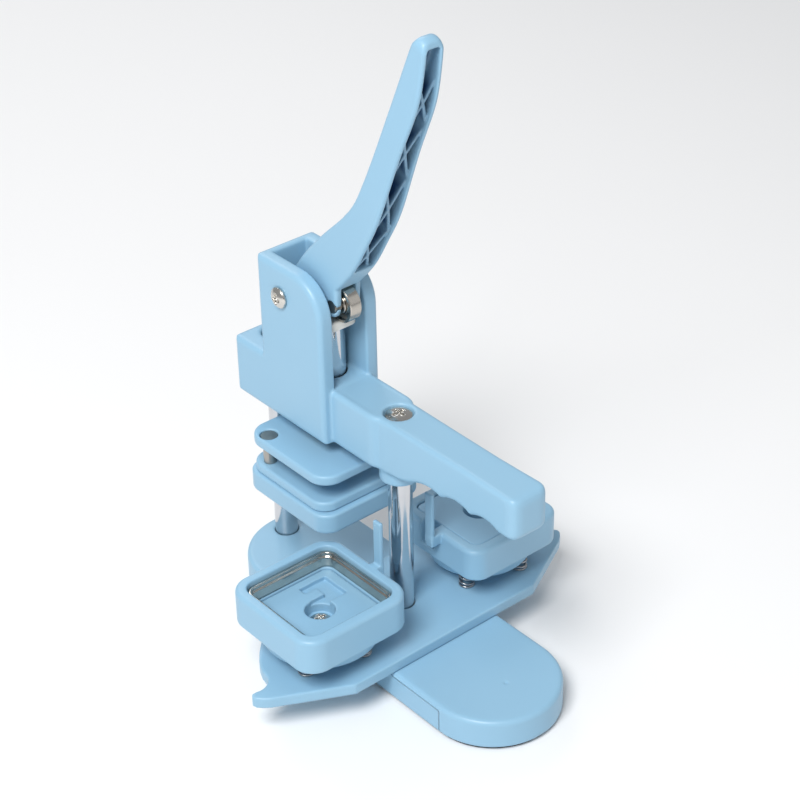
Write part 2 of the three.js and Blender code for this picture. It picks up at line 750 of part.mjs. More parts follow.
// Screw and nut that clamp a die's core to the turntable, with the screw's head at `top`.
function makeDieFastening(die, name, top) {
  const screw = turned([
    [0, TABLE_BOTTOM + 0.5],
    [BOLT_RADIUS, TABLE_BOTTOM + 0.5],
    [BOLT_RADIUS, top - 2.8],
    [5.6, top - 2.8],
    [5.4, top - 1.2],
    [3.8, top - 0.2],
    [0, top],
  ], 24);
  die.add(named(`${name}_screw`, cut(screw, crossRecess(6, 1.6, top)), chrome));

  const nut = cut(
    rod(5.7, TABLE_BOTTOM + GAP, TABLE_BOTTOM + 2.5, 0, 0, 6),
    rod(BOLT_RADIUS + GAP, 0, 30),
  );
  die.add(named(`${name}_nut`, nut, steel));
}

function springPlaces() {
  const first = Math.atan2(11.2, 18.3);
  return [0, 1, 2, 3].map((i) => {
    const angle = first + i * Math.PI / 2;
    return [SPRING_PITCH_RADIUS * Math.cos(angle), SPRING_PITCH_RADIUS * Math.sin(angle)];
  });
}

function makeDieSprings(die, name) {
  springPlaces().forEach(([x, y], i) => {
    const shape = coilSpring(3.6, 1.1, TABLE_TOP + GAP, DIE_FLOOR + SPRING_POCKET - GAP, 3.5, 8);
    const mesh = named(`${name}_spring_${i + 1}`, shape, springSteel);
    mesh.position.set(x, y, 0);
    die.add(mesh);
  });
}

// Round skirt below a square sleeve, with room for the core, its boss and the springs.
function sleeveBlank(half, corner, top, openingHalf, openingCorner) {
  const square = prism(roundedRect(half, half, corner), DIE_SQUARE, top);
  const skirt = turned([
    [0, DIE_FLOOR],
    [half - 4, DIE_FLOOR],
    [half - 0.5, DIE_SQUARE],
    [half - 0.5, DIE_SQUARE + 1],
    [0, DIE_SQUARE + 1],
  ], 24);
  let sleeve = cut(
    square.add(skirt),
    prism(roundedRect(openingHalf, openingHalf, openingCorner), SLEEVE_FLOOR_TOP, top + 1),
    rod(BOSS_RADIUS + 0.5, DIE_FLOOR - 1, SLEEVE_FLOOR_TOP + 1, 0, 0, 24),
  );
  for (const [x, y] of springPlaces()) {
    sleeve = cut(sleeve, rod(4.8, DIE_FLOOR - 4, DIE_FLOOR + SPRING_POCKET, x, y, 24));
  }
  return sleeve;
}

function coreBlank(half, corner, top, screwTop, holeRadius) {
  return cut(
    join(
      prism(roundedRect(half, half, corner), SLEEVE_FLOOR_TOP + GAP, top),
      rod(BOSS_RADIUS, TABLE_TOP + GAP, SLEEVE_FLOOR_TOP + 1, 0, 0, 24),
    ),
    rod(holeRadius, screwTop - 3.1, top + 1, 0, 0, 20),
    rod(BOLT_RADIUS + GAP, TABLE_TOP, screwTop, 0, 0, 24),
  );
}

// An upright finger beside the die, on a ledge that grows from the sleeve's rim.
function finger(inward, half, top, middleY) {
  const innerX = inward * (DIE_RADIUS - FINGER_INNER);
  const outerX = inward * (DIE_RADIUS - FINGER_OUTER);
  const low = Math.min(innerX, outerX);
  const high = Math.max(innerX, outerX);
  const front = middleY - FINGER_WIDTH / 2;
  const back = middleY + FINGER_WIDTH / 2;
  const blade = box(low, high, front, back, top - 4, FINGER_TOP);
  const reach = inward * (half - 2);
  const ledge = box(
    Math.min(reach, innerX), Math.max(reach, innerX), front, back, top - 6, top,
  );
  return blade.add(ledge);
}

// Die A: an open square cup with a steel ring, round a low core.
function makeDieA() {
  const die = new THREE.Group();
  die.position.x = -DIE_RADIUS;
  const screwTop = 41.4;

  const core = cut(
    coreBlank(23.6, 4, DIE_A_CORE_TOP, screwTop, 7.5),
    box(0, 18, 2, 8, DIE_A_CORE_TOP - 2.5, DIE_A_CORE_TOP + 1),
    box(9, 18, 2, 19, DIE_A_CORE_TOP - 2.5, DIE_A_CORE_TOP + 1),
    box(2, 14, 14, 19, DIE_A_CORE_TOP - 2.5, DIE_A_CORE_TOP + 1),
  );
  die.add(named('die_a_core', core, darkBlue));

  const sleeve = join(
    cut(
      sleeveBlank(DIE_A_HALF, 11.5, DIE_A_TOP, 24.1, 5),
      prism(roundedRect(26.5, 26.5, 6.5), 46.4, DIE_A_TOP + 1),
    ),
    finger(1, DIE_A_HALF, DIE_A_TOP, -3.2),
  );
  die.add(named('die_a_sleeve', sleeve, blue));

  const ring = cut(
    prism(roundedRect(26.2, 26.2, 6.2), 46.7, DIE_A_TOP - 2.4),
    prism(roundedRect(24.3, 24.3, 4.6), 46, DIE_A_TOP),
  );
  die.add(named('die_a_steel_ring', ring, steel));
  makeDieFastening(die, 'die_a', screwTop);
  makeDieSprings(die, 'die_a');
  return die;
}

// Die B: a core that lies flush with its sleeve, which has a slot towards the pivot.
function makeDieB() {
  const die = new THREE.Group();
  die.position.x = DIE_RADIUS;
  const screwTop = 45;

  const core = coreBlank(23, 4, DIE_B_CORE_TOP, screwTop, 8);
  die.add(named('die_b_core', core, darkBlue));

  const sleeve = join(
    cut(
      sleeveBlank(DIE_B_HALF, 9, DIE_B_TOP, 23.5, 4.5),
      box(-DIE_B_HALF - 1, -20, 1.5, 11, 44, DIE_B_TOP + 1),
    ),
    finger(-1, DIE_B_HALF, DIE_B_TOP, -1.7),
  );
  die.add(named('die_b_sleeve', sleeve, blue));
  makeDieFastening(die, 'die_b', screwTop);
  makeDieSprings(die, 'die_b');
  return die;
}

badgeMaker.add(makeBase(), makeHead(), makeHandle(), makeRam(), makeUpperBlock(), makeTurntable());

export default badgeMaker;
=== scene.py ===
"""A button badge maker: a hand press with two floating dies on a swinging turntable.

Lengths inside a section are in millimetres and become metres when a mesh is made.
"""

import json
import math

import bpy
import numpy as np
from mathutils import Matrix, Vector

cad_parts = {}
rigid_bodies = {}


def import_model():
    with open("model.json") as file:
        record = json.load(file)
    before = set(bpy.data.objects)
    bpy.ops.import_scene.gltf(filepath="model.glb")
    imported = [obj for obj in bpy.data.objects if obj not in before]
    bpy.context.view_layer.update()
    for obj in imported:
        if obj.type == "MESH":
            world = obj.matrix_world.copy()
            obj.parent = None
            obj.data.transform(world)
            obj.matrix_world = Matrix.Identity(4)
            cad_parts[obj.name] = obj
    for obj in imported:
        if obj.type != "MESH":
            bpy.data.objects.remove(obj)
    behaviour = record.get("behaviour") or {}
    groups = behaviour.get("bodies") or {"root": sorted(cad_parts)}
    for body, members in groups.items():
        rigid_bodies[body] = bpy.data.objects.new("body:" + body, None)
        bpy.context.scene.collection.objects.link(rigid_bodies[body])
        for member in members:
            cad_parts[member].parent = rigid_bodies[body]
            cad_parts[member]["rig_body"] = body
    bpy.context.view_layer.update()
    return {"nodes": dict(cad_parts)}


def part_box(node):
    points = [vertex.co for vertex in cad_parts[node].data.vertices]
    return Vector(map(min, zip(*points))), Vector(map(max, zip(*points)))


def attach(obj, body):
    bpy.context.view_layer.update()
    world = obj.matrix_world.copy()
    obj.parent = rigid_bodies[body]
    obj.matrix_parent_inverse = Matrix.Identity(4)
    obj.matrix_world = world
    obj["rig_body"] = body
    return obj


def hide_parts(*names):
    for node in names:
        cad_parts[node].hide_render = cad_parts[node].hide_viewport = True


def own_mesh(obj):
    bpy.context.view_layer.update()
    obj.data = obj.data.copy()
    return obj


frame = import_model()


# ---- Foot ----
# One heavy moulding, round at both ends, that carries both columns. Its upper edge
# is well rounded, and a small gate mark is left on top near the front end.

MM = 0.001


def span(node):
    """Lowest and highest corner of a CAD node, in millimetres."""
    low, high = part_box(node)
    return np.array(low) / MM, np.array(high) / MM


def grid(low, high, step, margin=1.6):
    """Three arrays that broadcast to a grid of points over a box."""
    x, y, z = (
        np.arange(a - margin, b + margin + step, step, dtype=np.float32)
        for a, b in zip(low, high)
    )
    return x[:, None, None], y[None, :, None], z[None, None, :]


def rounded(a, b, radius):
    """The solid inside both fields, with the edge between them rounded."""
    a, b = a + radius, b + radius
    outside = np.hypot(np.maximum(a, 0), np.maximum(b, 0))
    return np.minimum(np.maximum(a, b), 0) + outside - radius


def filleted(a, b, radius):
    """The solid inside either field, with a fillet between them."""
    return -rounded(-a, -b, radius)


def carved(body, tool, radius=0.4):
    """A solid with a tool cut out of it, and the cut's edges rounded."""
    return rounded(body, -tool, radius)


def slab(outline, z, low, high, low_radius, high_radius):
    """An outline raised between two heights, with its two edges rounded."""
    lower = rounded(outline, low - z, low_radius)
    return np.maximum(lower, rounded(outline, z - high, high_radius))


def disc(u, v, centre_u, centre_v, radius):
    return np.hypot(u - centre_u, v - centre_v) - radius


def rectangle(u, v, half_u, half_v, corner):
    du, dv = np.abs(u) - half_u + corner, np.abs(v) - half_v + corner
    outside = np.hypot(np.maximum(du, 0), np.maximum(dv, 0))
    return outside + np.minimum(np.maximum(du, dv), 0) - corner


def skin(name, field, x, y, z, keep=1.0):
    """A closed smooth mesh of the surface on which a field is zero."""
    field = np.broadcast_to(field, (x.size, y.size, z.size))
    rings, crossings = [], []
    for axis in range(3):
        u, v = (axis + 1) % 3, (axis + 2) % 3
        start, end = [slice(None)] * 3, [slice(None)] * 3
        start[axis], end[axis] = slice(None, -1), slice(1, None)
        a, b = field[tuple(start)], field[tuple(end)]
        at = np.argwhere((a < 0) != (b < 0))
        value_a, value_b = a[tuple(at.T)], b[tuple(at.T)]
        point = at.astype(float)
        point[:, axis] += value_a / (value_a - value_b)
        ring = []
        for step_u, step_v in ((0, 0), (-1, 0), (-1, -1), (0, -1)):
            cell = at.copy()
            cell[:, u] += step_u
            cell[:, v] += step_v
            ring.append(np.ravel_multi_index(cell.T, field.shape))
        ring = np.stack(ring, 1)
        inward = value_a > 0
        ring[inward] = ring[inward][:, ::-1]
        rings.append(ring)
        crossings.append(point)
    rings, crossings = np.concatenate(rings), np.concatenate(crossings)
    cells, corner = np.unique(rings.ravel(), return_inverse=True)
    count = np.bincount(corner)
    vertices = [
        np.bincount(corner, np.repeat(crossings[:, axis], 4)) / count
        for axis in range(3)
    ]
    origin = np.array([x.flat[0], y.flat[0], z.flat[0]], float)
    step = float(x.flat[1] - x.flat[0])
    vertices = (origin + step * np.stack(vertices, 1)) * MM
    mesh = bpy.data.meshes.new(name)
    mesh.from_pydata(vertices.tolist(), [], corner.reshape(-1, 4).tolist(), False)
    piece = bpy.data.objects.new(name, mesh)
    bpy.context.scene.collection.objects.link(piece)
    if keep < 1:
        piece.modifiers.new("thin", "DECIMATE").ratio = keep
        settle(piece)
    return piece


def settle(piece):
    """Turns a piece's modifiers into its mesh."""
    evaluated = piece.evaluated_get(bpy.context.evaluated_depsgraph_get())
    mesh = bpy.data.meshes.new_from_object(evaluated)
    piece.modifiers.clear()
    piece.data = mesh
    mesh.name = piece.name
    mesh.shade_smooth()


class Wire:
    """A node's output. Arithmetic on it adds Math nodes."""

    def __init__(self, graph, socket):
        self.graph, self.socket = graph, socket

    def math(self, operation, a, b):
        return self.graph.node(
            "ShaderNodeMath", {"operation": operation}, {0: a, 1: b}
        )

    def __add__(self, other):
        return self.math("ADD", self, other)

    __radd__ = __add__

    def __mul__(self, other):
        return self.math("MULTIPLY", self, other)

    __rmul__ = __mul__

    def __sub__(self, other):
        return self.math("SUBTRACT", self, other)

    def __rsub__(self, other):
        return self.math("SUBTRACT", other, self)


class Graph:
    """The node graph of one new material."""

    def __init__(self, name):
        self.material = bpy.data.materials.new(name)
        self.material.use_nodes = True
        self.tree = self.material.node_tree
        self.tree.nodes.clear()

    def node(self, kind, settings=None, inputs=None, output=0, stops=None):
        node = self.tree.nodes.new(kind)
        for key, value in (settings or {}).items():
            setattr(node, key, value)
        for element, (at, value) in zip(
            node.color_ramp.elements if stops else (), stops or ()
        ):
            element.position, element.color = at, (value, value, value, 1)
        for key, value in (inputs or {}).items():
            if isinstance(value, Wire):
                self.tree.links.new(value.socket, node.inputs[key])
            else:
                node.inputs[key].default_value = value
        return Wire(self, node.outputs[output]) if node.outputs else None

    def noise(self, scale, detail=2.0, vector=None):
        where = vector or self.node("ShaderNodeTexCoord", output="Object")
        inputs = {"Vector": where, "Scale": scale, "Detail": detail}
        return self.node("ShaderNodeTexNoise", inputs=inputs)

    def ramp(self, value, low, high):
        """0 below low and 1 above high."""
        return self.node("ShaderNodeValToRGB", inputs={0: value},
                         stops=((low, 0.0), (high, 1.0)))

    def mix(self, factor, a, b):
        settings = {"data_type": "RGBA"}
        return self.node("ShaderNodeMix", settings, {0: factor, 6: a, 7: b}, output=2)

    def edges(self, low=0.52, high=0.62):
        """1 on outward edges, where handling rubs a surface."""
        point = self.node("ShaderNodeNewGeometry", output="Pointiness")
        return self.ramp(point, low, high)

    def finish(self, shader):
        self.node("ShaderNodeOutputMaterial", inputs={"Surface": shader})
        return self.material


def plastic(name, colour, deep, rub, roughness, inside=None):
    """Glossy moulded plastic: soft flow marks, fine grain and edges rubbed paler. The
    optional inside colour is painted shade, laid where the "inside" attribute marks a
    hollow.
    """
    g = Graph(name)
    flow, grain = g.noise(22.0, 3.0), g.noise(1400.0, 1.0)
    base = g.mix(flow * 0.55, (*colour, 1), (*deep, 1))
    base = g.mix(g.edges() * 0.35, base, (*rub, 1))
    # Painted shade: the inside colour darkens the plastic where the "inside" attribute is
    # set, as shade in a hollow.
    if inside:
        depth = g.node("ShaderNodeAttribute", {"attribute_name": "inside"}, output="Fac")
        base = g.mix(depth, base, (*inside, 1))
    bump = g.node("ShaderNodeBump", inputs={
        "Strength": 0.12, "Distance": 0.00008, "Height": grain + flow * 1.5})
    return g.finish(g.node("ShaderNodeBsdfPrincipled", inputs={
        "Base Color": base, "Roughness": flow * 0.1 + grain * 0.05 + roughness,
        "Normal": bump, "IOR": 1.48}))


low, high = span("foot")
half = (high[0] - low[0]) / 2
top_edge, bottom_edge = 2.4, 0.8
bore_radius, recess_radius, recess_depth = 6.3, 6.2, 2.9
gate_x, gate_y, gate_radius, gate_lift = 1.5, -126, 1.1, 0.4
x, y, z = grid(low, high, 0.8)
beyond = np.maximum(np.maximum(low[1] + half - y, y - high[1] + half), 0)
field = slab(np.hypot(x, beyond) - half, z, low[2], high[2], bottom_edge, top_edge)
for node in ("front_column", "rear_column"):
    column_low, column_high = span(node)
    centre = (column_low[1] + column_high[1]) / 2
    bore = disc(x, y, 0, centre, bore_radius)
    field = carved(field, np.maximum(bore, column_low[2] - 0.3 - z), 0.5)
    recess = disc(x, y, 0, centre, recess_radius)
    recess = np.maximum(recess, z - low[2] - recess_depth)
    field = carved(field, recess, 0.4)
above = z - high[2] - gate_lift
gate = np.sqrt((x - gate_x) ** 2 + (y - gate_y) ** 2 + above**2) - gate_radius
field = carved(field, gate, 0.3)
foot = skin("foot_moulding", field, x, y, z, 0.5)
BLUE = (0.29, 0.50, 0.66)
DEEP_BLUE = (0.25, 0.46, 0.63)
RUBBED_BLUE = (0.40, 0.60, 0.74)
foot.data.materials.append(plastic("foot_plastic", BLUE, DEEP_BLUE, RUBBED_BLUE, 0.3))
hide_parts("foot")
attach(foot, "base")


# ---- Anti-slip pad and foot screws ----
# A thin dark rubber pad is glued under the foot, and a pan head screw under each
# column clamps it. Their CAD shapes are right, so they only get a finish.


def metal(name, colour, stain, roughness, scratch=1.0):
    """Bare or plated metal: cloudy tarnish, fine scratches and bright rubbed edges."""
    g = Graph(name)
    cloud, fine = g.noise(60.0, 3.0), g.noise(2600.0, 2.0)
    base = g.mix(g.ramp(cloud, 0.45, 0.75) * 0.5, (*colour, 1), (*stain, 1))
    base = g.mix(g.edges() * 0.3, base, (*(min(1, c * 1.12) for c in colour), 1))
    bump = g.node("ShaderNodeBump", inputs={
        "Strength": 0.1 * scratch, "Distance": 0.00003, "Height": fine})
    return g.finish(g.node("ShaderNodeBsdfPrincipled", inputs={
        "Base Color": base, "Metallic": 1.0, "Normal": bump,
        "Roughness": cloud * 0.08 + fine * 0.05 + roughness}))


def finish_nodes(material, *names):
    """Gives CAD nodes that are shown as they are a material."""
    for name in names:
        materials = frame["nodes"][name].data.materials
        materials.clear()
        materials.append(material)


g = Graph("pad_rubber")
speckle, mottle = g.noise(900.0, 3.0), g.noise(40.0, 2.0)
base = g.mix(mottle, (0.022, 0.024, 0.027, 1), (0.035, 0.036, 0.04, 1))
base = g.mix(g.edges() * 0.4, base, (0.07, 0.07, 0.075, 1))
bump = g.node("ShaderNodeBump", inputs={
    "Strength": 0.5, "Distance": 0.0002, "Height": speckle})
rubber = g.finish(g.node("ShaderNodeBsdfPrincipled", inputs={
    "Base Color": base, "Roughness": speckle * 0.2 + 0.7, "Normal": bump}))
finish_nodes(rubber, "anti_slip_pad")
STEEL, STEEL_STAIN = (0.42, 0.40, 0.37), (0.30, 0.28, 0.25)
hardware = metal("hardware_steel_finish", STEEL, STEEL_STAIN, 0.28)
finish_nodes(hardware, "front_foot_screw", "rear_foot_screw")


# ---- Columns ----
# Two polished chrome bars. Each is turned, with a small chamfer at both ends.


def turned(name, profile, centre, axis="Z", segments=64):
    """A closed (radius, height) profile turned about an axis through a point."""
    angles = np.linspace(0, 2 * np.pi, segments, endpoint=False)
    points = [(r * np.cos(a), r * np.sin(a), h) for a in angles for r, h in profile]
    if axis == "X":
        points = [(h, px, py) for px, py, h in points]
    count = len(profile)
    faces = []
    for i in range(segments):
        for j in range(count):
            k, following = (j + 1) % count, (i + 1) % segments
            faces.append((i * count + j, following * count + j,
                          following * count + k, i * count + k))
    mesh = bpy.data.meshes.new(name)
    mesh.from_pydata(((np.array(points) + centre) * MM).tolist(), [], faces, False)
    piece = bpy.data.objects.new(name, mesh)
    bpy.context.scene.collection.objects.link(piece)
    weld = piece.modifiers.new("weld", "WELD")
    weld.merge_threshold = 1e-6
    settle(piece)
    piece.data.set_sharp_from_angle(angle=math.radians(35))
    return piece


chrome = metal("column_chrome_finish", (0.62, 0.63, 0.65), (0.45, 0.46, 0.48), 0.07, 0.5)
for node in ("front_column", "rear_column"):
    low, high = span(node)
    r = (high[0] - low[0]) / 2
    centre = ((low[0] + high[0]) / 2, (low[1] + high[1]) / 2, 0)
    profile = [(0, low[2]), (r - 0.8, low[2]), (r, low[2] + 0.8),
               (r, high[2] - 0.8), (r - 0.8, high[2]), (0, high[2])]
    column = turned(node + "_bar", profile, centre)
    column.data.materials.append(chrome)
    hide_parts(node)
    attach(column, "base")


# ---- Head and arm ----
# One moulding: two cheeks round a channel for the lever, a block on the rear column,
# and an arm whose grip has three finger hollows underneath.


def polygon(u, v, points):
    """Signed distance to a polygon."""
    nearest = np.float32(1e9)
    inside = np.zeros(np.broadcast_shapes(u.shape, v.shape), bool)
    for (au, av), (bu, bv) in zip(points, [*points[1:], points[0]]):
        eu, ev = bu - au, bv - av
        wu, wv = u - au, v - av
        t = np.clip((wu * eu + wv * ev) / (eu * eu + ev * ev + 1e-12), 0, 1)
        nearest = np.minimum(nearest, (wu - eu * t) ** 2 + (wv - ev * t) ** 2)
        if abs(ev) > 1e-9:
            inside ^= ((av > v) != (bv > v)) & (u < eu * (v - av) / ev + au)
    return np.where(inside, -1, 1) * np.sqrt(nearest)


def bend(a, control, b, count=6):
    """Points along a quadratic curve, without its first one."""
    a, control, b = np.array(a), np.array(control), np.array(b)
    ts = np.arange(1, count + 1) / count
    return [tuple((1 - t) ** 2 * a + 2 * t * (1 - t) * control + t * t * b) for t in ts]


low, high = span("head_and_arm")
half = high[0]
front, rear = -16.5, high[1]
bottom, top, arm_top, boss_bottom, tip = 107.1, high[2], 136.6, low[2], low[1]
cheek_rear, block_top, curve = 31.5, 138.8, 20
channel_half, channel_rear = 10, 27.8
x, y, z = grid(low, high, 0.8)
arc = [(front + curve - curve * math.cos(a), top - curve + curve * math.sin(a))
       for a in np.linspace(0, math.pi / 2, 12)]
side = polygon(y, z, [(front, bottom), *arc, (cheek_rear, top), (cheek_rear, block_top),
                      (rear, block_top), (rear, bottom)])
shell = rounded(side, np.abs(x) - half, 2.6)
hollows = [(-58, bottom), *bend((-58, bottom), (-64, bottom), (-70, 109.5)),
           *bend((-70, 109.5), (-82, 116.5), (-92, 112.5)),
           *bend((-92, 112.5), (-102, 118.5), (-112, 113.5)),
           *bend((-112, 113.5), (-122, 119), (-131, 114.5)), (-139, 114.5),
           *bend((-139, 114.5), (tip, 114.8), (tip, 119)), (tip, 131),
           *bend((tip, 131), (tip, arm_top), (-137.5, arm_top))]
profile = polygon(y, z, [(front + 5, arm_top), (front + 5, bottom), *hollows])
edge = [(13, front + 5), (13, -43), *bend((13, -43), (13, -47), (10.8, -50)),
        (10.2, -110), (10.8, tip + 7), *bend((10.8, tip + 7), (10.8, tip), (3.8, tip))]
plan = polygon(x, y, [*edge, *((-px, py) for px, py in reversed(edge))])
field = filleted(shell, rounded(profile, plan, 2.4), 1.0)
column_y = sum(span("front_column")[i][1] for i in (0, 1)) / 2
rear_y = sum(span("rear_column")[i][1] for i in (0, 1)) / 2
boss = slab(disc(x, y, 0, column_y, 10), z, boss_bottom, arm_top - 3, 1.0, 1.0)
field = filleted(field, boss, 2.0)
channel = np.maximum(y - channel_rear, arm_top - z)
channel = np.maximum(np.abs(x) - channel_half, channel)
field = carved(field, channel, 1.0)
field = carved(field, np.maximum(disc(x, y, 0, 0, 8.4), z - arm_top - 1), 0.3)
field = carved(field, np.maximum(disc(x, y, 0, 0, 12.8), z - arm_top + 1.5), 0.4)
field = carved(field, disc(y, z, 13.6, 177.4, 3.3), 0.3)
for centre, seat in ((column_y, arm_top), (rear_y, block_top)):
    bore = np.maximum(disc(x, y, 0, centre, 6.3), z - 126.3)
    sink = np.maximum(disc(x, y, 0, centre, 7.4), seat - 2.5 - z)
    hole = disc(x, y, 0, centre, 3.4)
    field = carved(field, np.minimum(np.minimum(bore, hole), sink), 0.4)
head = skin("head_moulding", field, x, y, z, 0.4)
head.data.materials.append(plastic("head_plastic", BLUE, DEEP_BLUE, RUBBED_BLUE, 0.28))
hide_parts("head_and_arm")
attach(head, "base")


# ---- Column screws and hinge bolt ----
# Bright plated heads with a cross recess: two countersunk ones on top of the columns
# and a pan head on the left cheek.


def cross(u, v, depth, size):
    """A tapered cross recess, where depth is below the head's face."""
    reach, arm = size / 2 - depth * 0.6, size * 0.13
    wing = np.maximum(np.abs(u) - reach, np.abs(v) - arm)
    other = np.maximum(np.abs(v) - reach, np.abs(u) - arm)
    return np.maximum(np.minimum(wing, other), depth - 1.7)


screw_chrome = metal("screw_chrome_finish", (0.66, 0.64, 0.60), (0.45, 0.42, 0.38), 0.16)
for node in ("front_top_screw", "rear_top_screw"):
    low, high = span(node)
    centre = (low[1] + high[1]) / 2
    x, y, z = grid(low, high, 0.3)
    radius = np.hypot(x, y - centre)
    crown = np.hypot(radius, z - high[2] + 17) - 17
    field = slab(radius - 6.9, z, high[2] - 2.1, high[2] + 1, 0.2, 0.3)
    field = rounded(field, crown, 0.4)
    field = np.minimum(field, slab(radius - 3, z, low[2], high[2] - 1.5, 0.3, 0.1))
    field = carved(field, cross(x, y - centre, high[2] - z, 7.4), 0.15)
    screw = skin(node + "_head", field, x, y, z, 0.6)
    screw.data.materials.append(screw_chrome)
    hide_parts(node)
    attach(screw, "base")

low, high = span("hinge_bolt")
hinge_y, hinge_z = (low[1] + high[1]) / 2, (low[2] + high[2]) / 2
x, y, z = grid(low, high, 0.3)
radius = np.hypot(y - hinge_y, z - hinge_z)
dome = np.hypot(radius, x - low[0] - 8) - 8
field = slab(radius - 5.5, -x, 18.1, 30, 0.2, 0.2)
field = rounded(field, dome, 0.4)
field = np.minimum(field, slab(radius - 3, x, -19, high[0], 0.1, 0.4))
field = carved(field, cross(y - hinge_y, z - hinge_z, x - low[0], 6.4), 0.15)
bolt = skin("hinge_bolt_pan_head", field, x, y, z, 0.6)
bolt.data.materials.append(screw_chrome)
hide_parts("hinge_bolt")
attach(bolt, "base")
finish_nodes(hardware, "hinge_nut", "hinge_washer_left", "hinge_washer_right")
bronze = metal("sintered_bronze", (0.42, 0.27, 0.12), (0.28, 0.18, 0.08), 0.42)
finish_nodes(bronze, "ram_guide_bush", "handle_bushing")


# ---- Lever ----
# A tall moulded lever whose front is hollow and stiffened by crossed ribs. It narrows
# to a round spoon-shaped end, and its lower prongs hold the roller. The shade inside
# the hollow is painted into its colour.


def curve_through(points, count=8):
    """Points on a Catmull-Rom curve through the given ones."""
    points = np.array([points[0], *points, points[-1]], float)
    out = []
    for a, b, c, d in zip(points, points[1:], points[2:], points[3:]):
        for t in np.arange(count) / count:
            out.append(tuple(0.5 * (2 * b + (c - a) * t + (2 * a - 5 * b + 4 * c - d) * t**2
                                    + (3 * b - a - 3 * c + d) * t**3)))
    return [*out, tuple(points[-1])]


low, high = span("handle_lever")
x, y, z = grid(low, high, 0.5)
back = [(19.5, 183), (8, 199), (-6.3, 214.4), (-27.5, 235.4), (-39.1, 255.3),
        (-55.8, 293.6), (-68.5, 324)]
face = [(-78.5, 321), (-73.9, 299.7), (-61.9, 271.9), (-48.3, 237.6), (-38.2, 218.8),
        (-28.6, 203), (-17, 189.5)]
knuckle = [(13.6 + 7 * math.cos(a), 177.4 + 7 * math.sin(a))
           for a in np.linspace(1.2 * math.pi, 2.2 * math.pi, 12)]


def lever_side(set_back):
    crown = [(-70.6, 328.5), (-73, 331.4), (-76, 331.9), (-78.3, 330), (-79.1, 326)]
    front = [(py + set_back, pz) for py, pz in curve_through(face)]
    foot_line = [(-16.3, 179), *bend((-16.3, 179), (-16, 174), (-12.5, 173.6)), (8, 172.2)]
    return polygon(y, z, [*curve_through(back), *crown, *front, *foot_line, *knuckle])


tilt = 1.94
tip_y, tip_z = -76.3, 332.6
tip_half, full_half, taper_length = 6, 7.85, 89
wall = 2.2
along = (y - tip_y) * math.cos(tilt) + (z - tip_z) * math.sin(tilt)


def lever_width(inset):
    """The lever's tapering half width with its round end, less an inset."""
    taper = np.clip((-along - tip_half) / taper_length, 0, 1)
    half_width = tip_half + (full_half - tip_half) * taper - inset
    end = np.hypot(x, np.maximum(along + tip_half, 0)) - (tip_half - inset)
    return np.where(along > -tip_half, end, np.abs(x) - half_width)


outside = rounded(lever_side(0), lever_width(0), 1.7)
inner_back = [(py - 3.4, pz - 2.2) for py, pz in back[2:]]
pocket = polygon(y, z, [(-22, 207), *curve_through(inner_back), (-73.5, 327.3),
                        (-75, 327.5), (-95, 325), (-60, 230), (-34, 200)])
hollow = rounded(pocket, lever_width(wall), 1.4)
nodes_up = [(-25.5, 197.5), (-38.7, 226), (-53.3, 257), (-66, 287), (-75.5, 314)]
rib_rise, rib_half, rib_set_back = 12.2, 0.8, 2.4
ribs = np.float32(1e9)
for (y0, z0), (y1, z1) in zip(nodes_up, nodes_up[1:]):
    length = math.hypot(y1 - y0, z1 - z0)
    step_up = ((y - (y0 + y1) / 2) * (y1 - y0) + (z - (z0 + z1) / 2) * (z1 - z0)) / length
    slant = math.atan2(rib_rise, length)
    for turn in (-1, 1):
        rib = np.abs(x * math.cos(slant) - turn * math.sin(slant) * step_up) - rib_half
        ribs = np.minimum(ribs, np.maximum(rib, np.abs(step_up) - length / 2))
ribs = np.maximum(np.maximum(ribs, lever_side(rib_set_back)), lever_width(wall - 1))
field = filleted(carved(outside, hollow, 0.7), ribs, 0.5)
low_r, high_r = span("roller_outer_ring")
roller_y, roller_z = (low_r[1] + high_r[1]) / 2, (low_r[2] + high_r[2]) / 2
room_half, room_radius = 4.2, 10.9
room = np.maximum(disc(y, z, roller_y, roller_z, room_radius), np.abs(x) - room_half)
mouth = np.maximum(y - roller_y, z - roller_z - 9)
mouth = np.maximum(mouth, np.abs(x) - room_half)
field = carved(field, np.minimum(room, mouth), 0.5)
field = carved(field, disc(y, z, hinge_y, hinge_z, 5.3), 0.3)
field = carved(field, disc(y, z, roller_y, roller_z, 3.25), 0.3)
field = carved(field, np.maximum(np.maximum(y - 10.4, z - 170.2), -20 - y), 0.3)
lever = skin("lever_moulding", field, x, y, z, 0.5)
# Painted shade: the "inside" attribute is 1 deep in the hollow behind the ribs, and there
# the plastic is painted dark blue in place of the shade that falls inside it.
inside = lever.data.attributes.new("inside", "FLOAT", "POINT")
points = np.array([v.co for v in lever.data.vertices]) / MM
y, z = points[:, 1], points[:, 2]
x = points[:, 0]
along = (y - tip_y) * math.cos(tilt) + (z - tip_z) * math.sin(tilt)
depth = np.clip(np.minimum(-lever_side(0) - 1.4, -lever_width(0) - 1.4) / 3.0, 0, 1)
inside.data.foreach_set("value", (depth * (z > 196) * 0.97).astype(np.float32))
# The colour (0.012, 0.055, 0.16) is the painted shade of the hollow.
lever.data.materials.append(plastic(
    "lever_plastic_painted_hollow_shade", BLUE, DEEP_BLUE, RUBBED_BLUE, 0.3, (0.012, 0.055, 0.16)))
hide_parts("handle_lever")
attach(lever, "handle")


# ---- Roller ----
# A ground ball bearing between the lever's prongs: bright outer ring, dark recessed
# side and a pin through its inner ring.

